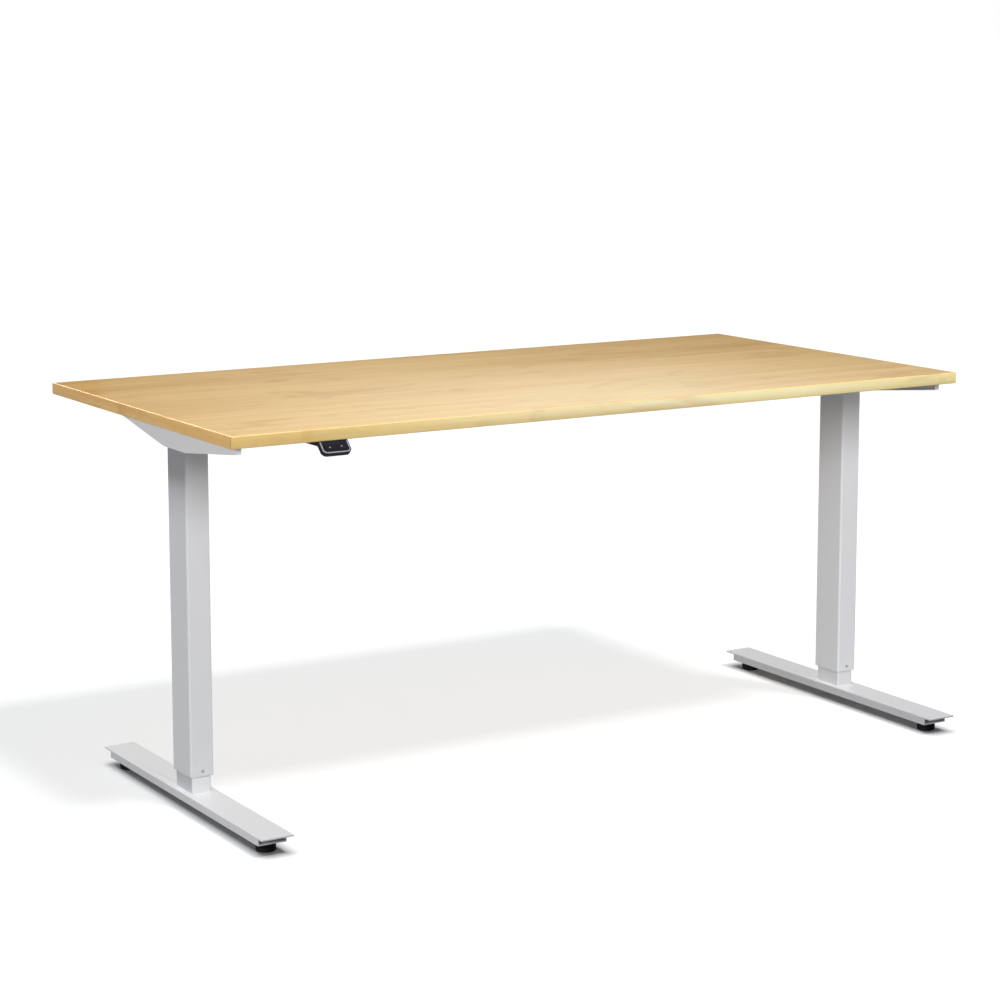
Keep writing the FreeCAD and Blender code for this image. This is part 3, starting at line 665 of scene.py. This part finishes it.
def dress_tube(node, body, corner, wall):
    """Drawn tube with its sheared ends slightly rounded, inside and out."""
    low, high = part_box(node)
    edge = 0.4 * MM

    def fill(built):
        levels = [(low.z, edge), (low.z + 0.3 * edge, 0.3 * edge), (low.z + edge, 0.0),
                  (low.z + 3 * edge, 0.0), (high.z - 3 * edge, 0.0), (high.z - edge, 0.0),
                  (high.z - 0.3 * edge, 0.3 * edge), (high.z, edge), (high.z, wall - edge),
                  (high.z - edge, wall), (high.z - 3 * edge, wall), (low.z + 3 * edge, wall),
                  (low.z + edge, wall), (low.z, wall - edge)]
        loops = [[built.verts.new((point.x, point.y, z))
                  for point in tube_outline(low, high, corner, inset)] for z, inset in levels]
        for first, second in zip(loops, loops[1:] + loops[:1]):
            for step in range(len(first)):
                after = (step + 1) % len(first)
                built.faces.new((first[step], first[after], second[after], second[step]))
    item = piece(f"{node}_drawn", fill, "frame_powder_coat", body)
    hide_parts(node)
    return item


WALL = 2.0 * MM
TUBES = {side: [dress_tube(f"outer_tube_{side}", "top_frame", 4.0 * MM, WALL),
                dress_tube(f"inner_tube_{side}", f"{side}_leg", 3.5 * MM, WALL)]
         for side in BOTH}


# ---- edge lipping ---------------------------------------------------------
ARRIS_RADIUS = 1.6 * MM


def dress_lipping():
    """Lipping strips with the top's outer arrises eased; the strips butt at the corners."""
    whole_low, whole_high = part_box("edge_banding")

    def on_outside(point):
        """How many of the top's outer faces the point lies on."""
        return sum(min(abs(point[i] - whole_low[i]), abs(point[i] - whole_high[i])) < TOUCHING
                   for i in range(3))

    def fill(built):
        for low, high in islands("edge_banding"):
            edges = block(built, low, high)
            outer = [e for e in edges if on_outside((e.verts[0].co + e.verts[1].co) / 2) > 1]
            round_off(built, outer, ARRIS_RADIUS, segments=5)
    item = piece("lipping_strips", fill, "edge_lipping")
    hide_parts("edge_banding")
    return item


LIPPING = dress_lipping()


# ---- handset --------------------------------------------------------------
def button_frame(name):
    """Placement on a button's face: X along the desk, Y down the slope, Z out of the panel."""
    low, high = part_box(name)
    slant = math.sqrt(0.5)
    out = Vector((0, -slant, slant))
    down = Vector((0, -slant, -slant))
    centre = (low + high) / 2
    corner = max((vertex.co for vertex in NODES[name].data.vertices),
                 key=lambda co: co.dot(out))
    centre += out * (corner.dot(out) - centre.dot(out))
    turn = Matrix((X, down, out)).transposed().to_4x4()
    return Matrix.Translation(centre) @ turn


ARROW_HALF_WIDTH = 2.1 * MM
ARROW_REACH = 1.7 * MM
ARROW_PROUD = 0.12 * MM
ARROW_SLOPE = 0.25 * MM             # how far the arrow's top is drawn in from its foot


def dress_button(name, sign):
    """Raised arrow on a button: up for sign -1, down for sign 1."""
    place = button_frame(name)

    def arrow(built):
        tail = -sign * ARROW_REACH * 0.8
        outline = [Vector((-ARROW_HALF_WIDTH, tail, 0)), Vector((ARROW_HALF_WIDTH, tail, 0)),
                   Vector((0, sign * ARROW_REACH, 0))]
        middle = sum(outline, Vector()) / 3
        shrink = 1 - ARROW_SLOPE / ARROW_HALF_WIDTH
        base = [built.verts.new(place @ p) for p in outline]
        top = [built.verts.new(place @ (middle + (p - middle) * shrink + ARROW_PROUD * Z))
               for p in outline]
        for step in range(3):
            after = (step + 1) % 3
            built.faces.new((base[step], base[after], top[after], top[step]))
        built.faces.new(base)
        built.faces.new(top)
    piece(f"{name}_arrow", arrow, "handset_silver", name, smooth=False)


dress_button("button_up", -1)
dress_button("button_down", 1)


# ---- control box and drives ----------------------------------------------
def rounded_bar(built, low, high, radius):
    """A bar between two corners with rounded edges."""
    round_off(built, block(built, low, high), radius)


def dress_control_box():
    """Cooling ribs under the control box, blades in the inlet and pins in the sockets."""
    low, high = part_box("control_box_case")

    def ribs(built):
        first, pitch, width = low.x + 34 * MM, 7 * MM, 3 * MM
        for step in range(11):
            x = first + step * pitch
            rounded_bar(built, Vector((x, low.y + 26 * MM, low.z - 0.9 * MM)),
                        Vector((x + width, low.y + 92 * MM, low.z + 0.4 * MM)), 0.4 * MM)
    piece("control_box_ribs", ribs, "box_plastic")

    inlet_low, inlet_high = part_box("mains_inlet")
    middle = (inlet_low + inlet_high) / 2

    def blades(built):
        for dx, dz in ((-7.0, -1.5), (0.0, 2.0), (7.0, -1.5)):
            x, z = middle.x + dx * MM, middle.z + dz * MM
            rounded_bar(built, Vector((x - 1.0 * MM, inlet_low.y + 1.0 * MM, z - 2 * MM)),
                        Vector((x + 1.0 * MM, inlet_high.y - 3.0 * MM, z + 2 * MM)), 0.3 * MM)
    piece("inlet_blades", blades, "zinc_steel")

    def pins(built):
        pitch, rise, thickness = 2.6 * MM, 1.9 * MM, 0.8 * MM
        for socket_low, socket_high in islands("control_sockets"):
            centre = (socket_low + socket_high) / 2
            for column in range(4):
                for row in (-1, 1):
                    x = centre.x + (column - 1.5) * pitch
                    z = centre.z + row * rise
                    rounded_bar(built, Vector((x, socket_low.y + 1.0 * MM, z)),
                                Vector((x + thickness, socket_high.y - 3.5 * MM,
                                        z + thickness)), 0.15 * MM)
    piece("socket_pins", pins, "zinc_steel")


dress_control_box()

BOSS_RADIUS = 11 * MM
BEARING_RADIUS = 6 * MM


def dress_motor(side):
    """Drawn steel can with rolled ends, a riveted cap and a bearing boss."""
    name = f"motor_{side}"
    low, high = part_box(name)
    centre = (low + high) / 2
    radius = (high.z - low.z) / 2
    if side == "left":
        start, heading = Vector((low.x, centre.y, centre.z)), X
    else:
        start, heading = Vector((high.x, centre.y, centre.z)), -X
    length = high.x - low.x

    def can_rings(base, *pairs):
        """Rings of the can from (distance past base, distance in from its wall) in mm."""
        return [(base + past * MM, circle(radius - inset * MM)) for past, inset in pairs]

    def fill(built):
        can_start = 8.5 * MM
        can_end = length - 11 * MM
        crimp = lobed(radius - 0.6 * MM, 0.3 * MM, 12)
        rings = [(0.0, circle(BOSS_RADIUS)), (can_start, circle(BOSS_RADIUS))]
        rings += can_rings(can_start, (0, 1.2), (0.8, 0.3), (2, 0), (22, 0), (22.6, 0.8),
                           (23.8, 0.8), (24.4, 0))
        rings += can_rings(can_end, (-9, 0))
        rings += [(can_end - 8 * MM, crimp), (can_end - 5 * MM, crimp)]
        rings += can_rings(can_end, (-4, 0), (-1.5, 0), (-0.4, 0.5), (0, 1.5), (0, 3),
                           (5.2, 3), (6, 3.8))
        rings += [(can_end + 6 * MM, circle(BEARING_RADIUS)),
                  (length - 0.6 * MM, circle(BEARING_RADIUS)),
                  (length, circle(BEARING_RADIUS - 0.6 * MM))]
        turned(built, towards(start, heading), rings, segments=72)
    item = piece(f"{name}_can", fill, "motor_can", "top_frame")
    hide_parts(name)


for side in BOTH:
    dress_motor(side)


# ---- small radii on the sheet and moulded parts ---------------------------
for side in BOTH:
    soften([f"foot_plate_{side}", f"foot_channel_{side}", f"side_bracket_{side}",
            f"head_plate_{side}"], 0.35 * MM)
    soften([f"beam_end_{side}"], 0.3 * MM)
soften(["centre_rail_front", "centre_rail_rear"], 0.3 * MM)
soften(["control_box_case", "control_box_lid", "mains_inlet", "control_sockets"], 0.5 * MM)
soften(["handset_housing", "handset_bezel", "handset_face", "button_up", "button_down"],
       0.35 * MM)


# ---- studio ---------------------------------------------------------------
def collection_of(name, members):
    """A collection used only to say which objects a light reaches or is stopped by."""
    group = bpy.data.collections.new(name)
    for item in members:
        group.objects.link(item)
    return group


FLOOR_HALF_SIZE = 60.0
FLOOR_SEEN = (0.90, 0.90, 0.90)
FLOOR_BOUNCE = (0.36, 0.36, 0.365)


def make_floor():
    """Plain pale floor. To everything but the camera it is a darker card, so that the
    light thrown up under the desk stays soft."""
    mesh = bpy.data.meshes.new("studio_floor")
    built = bmesh.new()
    bmesh.ops.create_grid(built, x_segments=8, y_segments=8, size=FLOOR_HALF_SIZE)
    built.to_mesh(mesh)
    built.free()
    floor = bpy.data.objects.new("studio_floor", mesh)
    bpy.context.scene.collection.objects.link(floor)
    finish = Finish("studio_floor", Roughness=1.0, Specular_IOR_Level=0.0)
    seen = finish.node("ShaderNodeLightPath").outputs["Is Camera Ray"]
    finish.set("Base Color", finish.mix(seen, FLOOR_BOUNCE, FLOOR_SEEN))
    mesh.materials.append(finish.material)
    return floor


SKY_TINT = (0.97, 0.985, 1.0, 1)
SKY_LOW = 0.02              # strength at the dark horizon, seen in the top at a grazing angle
SKY_HIGH = 0.14             # strength overhead
SKY_RISE = (0.10, 0.18)     # the sine of the elevation, where one turns into the other


def make_world():
    """White to the camera, a soft grey studio to everything else."""
    world = bpy.data.worlds.new("studio")
    bpy.context.scene.world = world
    world.use_nodes = True
    tree = world.node_tree
    lit = tree.nodes["Background"]
    seen = tree.nodes.new("ShaderNodeBackground")
    seen.inputs["Color"].default_value = (1, 1, 1, 1)
    seen.inputs["Strength"].default_value = 1.0
    place = tree.nodes.new("ShaderNodeTexCoord")
    split = tree.nodes.new("ShaderNodeSeparateXYZ")
    tree.links.new(place.outputs["Generated"], split.inputs[0])
    ramp = tree.nodes.new("ShaderNodeMapRange")
    ramp.inputs["From Min"].default_value = SKY_RISE[0]
    ramp.inputs["From Max"].default_value = SKY_RISE[1]
    ramp.inputs["To Min"].default_value = SKY_LOW
    ramp.inputs["To Max"].default_value = SKY_HIGH
    tree.links.new(split.outputs["Z"], ramp.inputs["Value"])
    lit.inputs["Color"].default_value = SKY_TINT
    tree.links.new(ramp.outputs[0], lit.inputs["Strength"])
    path = tree.nodes.new("ShaderNodeLightPath")
    mix = tree.nodes.new("ShaderNodeMixShader")
    tree.links.new(path.outputs["Is Camera Ray"], mix.inputs[0])
    tree.links.new(lit.outputs[0], mix.inputs[1])
    tree.links.new(seen.outputs[0], mix.inputs[2])
    tree.links.new(mix.outputs[0], tree.nodes["World Output"].inputs["Surface"])


def lamp(name, kind, place, direction, power, receivers, blockers=None, glossy=True, **settings):
    """One studio light, reaching only the receivers. Only the blockers, if there are any,
    throw shadows in it."""
    data = bpy.data.lights.new(name, kind)
    data.energy = power
    for key, value in settings.items():
        setattr(data, key, value)
    item = bpy.data.objects.new(name, data)
    item.location = place
    item.rotation_mode = "QUATERNION"
    item.rotation_quaternion = Vector(direction).to_track_quat("-Z", "Y")
    item.visible_camera = False
    item.visible_glossy = glossy
    bpy.context.scene.collection.objects.link(item)
    item.light_linking.receiver_collection = receivers
    if blockers:
        item.light_linking.blocker_collection = blockers
        data.cycles.use_multiple_importance_sampling = False


def softbox(name, stand, power, receivers, **settings):
    """A rectangular lamp on a stand: its place, the point it faces, and its size."""
    place, aim, size = stand
    lamp(name, "AREA", place, Vector(aim) - Vector(place), power, receivers,
         shape="RECTANGLE", size=size[0], size_y=size[1], **settings)


def sun(name, direction, power, receivers, blockers=None, **settings):
    """A far lamp. Its place has no meaning; its angle sets how soft its shadows are."""
    lamp(name, "SUN", (0, 0, 5), direction, power, receivers, blockers, **settings)


# Stands of the soft boxes: place, point faced, width and height, in metres.
FRONT = (-0.9, -4.6, 2.7), (0.0, -0.3, 0.5), (2.4, 2.0)
FRONT_LEFT = (-3.4, -4.4, 2.3), (0.4, -0.1, 0.5), (2.0, 1.6)
FRONT_RIGHT = (4.6, -4.2, 1.5), (0.2, -0.2, 0.5), (2.0, 1.6)
LEFT = (-5.0, -2.2, 1.9), (0.0, 0.0, 0.3), (2.4, 1.4)
OVERHEAD = (-0.2, -0.7, 3.4), (-0.2, -0.2, 0.7), (3.0, 1.6)
ALONG_EDGE = (2.55, -3.7, 0.6), (0.2, -0.377, 0.7), (2.2, 1.2)
BEHIND_LOW = (4.29, 5.62, 2.46), (-2.55, -4.10, 0.89), (5.4, 1.6)
REAR = (0.8, 5.4, 2.2), (0.0, 0.0, 0.4), (2.6, 1.6)
RIGHT = (5.0, 1.6, 1.5), (0.0, 0.3, 0.4), (2.4, 1.4)

SHADE_DIRECTION = Vector((-160.0, 390.0, -727.0)).normalized()
LEG_BODIES = {"left_leg", "right_leg"} | {
    f"leveller_{end}_{side}" for end in ("front", "rear") for side in BOTH}


def light_top(worktop, edging):
    """The top's diffuse light, the sheen along its face, and the light on its edges."""
    softbox("edge_front_box", FRONT, 20.0, edging)
    softbox("edge_left_box", LEFT, 155.0, edging)
    softbox("top_box", OVERHEAD, 152.0, worktop, glossy=False)
    softbox("edge_box", ALONG_EDGE, 124.0, edging, color=(0.56, 0.92, 1.0))
    softbox("sheen_card", BEHIND_LOW, 0.58, worktop, spread=0.50, color=(0.78, 1.0, 0.96))
    sun("arris_sun", (-0.52, 0.13, -0.84), 0.9, edging, angle=0.3)


def light_floor(ground, low_parts):
    """The floor, with the top's long soft shadow and short dark ones under the feet."""
    sun("floor_key", SHADE_DIRECTION, 1.08, ground, angle=0.17)
    sun("floor_wash", (0.0, 0.0, -1.0), 0.06, ground, use_shadow=False)
    sun("floor_fill", (0.16, 0.0, -1.0), 2.50, ground, low_parts, angle=0.9,
        color=(0.965, 0.985, 1.0))


def light_studio():
    """Every light reaches only the parts it is meant for, so that the top, its edges, the
    columns and the feet each keep their own shading on a white floor."""
    floor = make_floor()
    make_world()
    shown = [o for o in bpy.context.scene.objects if o.type == "MESH" and o is not floor]
    board = NODES["tabletop_board"]
    top = [board, LIPPING]
    left_outer, left_inner = TUBES["left"]
    right_outer, right_inner = TUBES["right"]
    tubes = [left_outer, left_inner, right_outer, right_inner]
    feet = [o for o in shown if set(body_of(o) or []) & LEG_BODIES and o not in tubes]

    def all_but(*left_out):
        return [o for o in shown if o not in left_out]

    desk = collection_of("lit_desk", all_but(*top, *feet))
    most = collection_of("lit_most", all_but(*top, left_outer, left_inner))
    sides = collection_of("lit_sides", all_but(board, *feet))
    low_parts = collection_of("lit_feet", feet)
    softbox("front_box", FRONT, 180.0, desk)
    softbox("front_left_box", FRONT_LEFT, 22.0, collection_of("lit_right_tube", [right_outer]))
    softbox("key_box", FRONT_RIGHT, 20.5, desk)
    softbox("left_box", LEFT, 133.0, most)
    softbox("inner_left_box", LEFT, 85.0, collection_of("lit_left_inner", [left_inner]))
    sun("left_high", (0.250, 0.0, -0.968), 5.2, collection_of("lit_left_outer", [left_outer]),
        angle=0.19)
    softbox("rear_box", REAR, 90.0, sides)
    softbox("right_box", RIGHT, 110.0, sides)
    sun("feet_sun", (0.1, 0.15, -1.0), 2.7, low_parts, low_parts, angle=0.5)
    light_top(collection_of("lit_top", top), collection_of("lit_edge", [LIPPING]))
    light_floor(collection_of("lit_floor", [floor]), low_parts)


light_studio()


# ---- camera ---------------------------------------------------------------
CAMERA_PLACE = Vector((-2.6142, -4.1950, 1.3835))
CAMERA_HEADING = 0.5504         # radians from +Y towards +X
CAMERA_PITCH = 0.1483           # radians below the horizon
SENSOR = 36.0                   # mm
FOCAL_LENGTH = 91.45            # mm
FRAMING_SHIFT = -0.08           # share of the sensor's width


def make_camera():
    """The camera, level from side to side."""
    data = bpy.data.cameras.new("camera")
    data.sensor_width = SENSOR
    data.lens = FOCAL_LENGTH
    data.shift_y = FRAMING_SHIFT
    data.clip_end = 200.0
    camera = bpy.data.objects.new("camera", data)
    level = math.cos(CAMERA_PITCH)
    forward = Vector((math.sin(CAMERA_HEADING) * level, math.cos(CAMERA_HEADING) * level,
                      -math.sin(CAMERA_PITCH)))
    camera.location = CAMERA_PLACE
    camera.rotation_mode = "QUATERNION"
    camera.rotation_quaternion = forward.to_track_quat("-Z", "Y")
    bpy.context.scene.collection.objects.link(camera)
    bpy.context.scene.camera = camera


make_camera()
bpy.context.scene.view_settings.view_transform = "Standard"
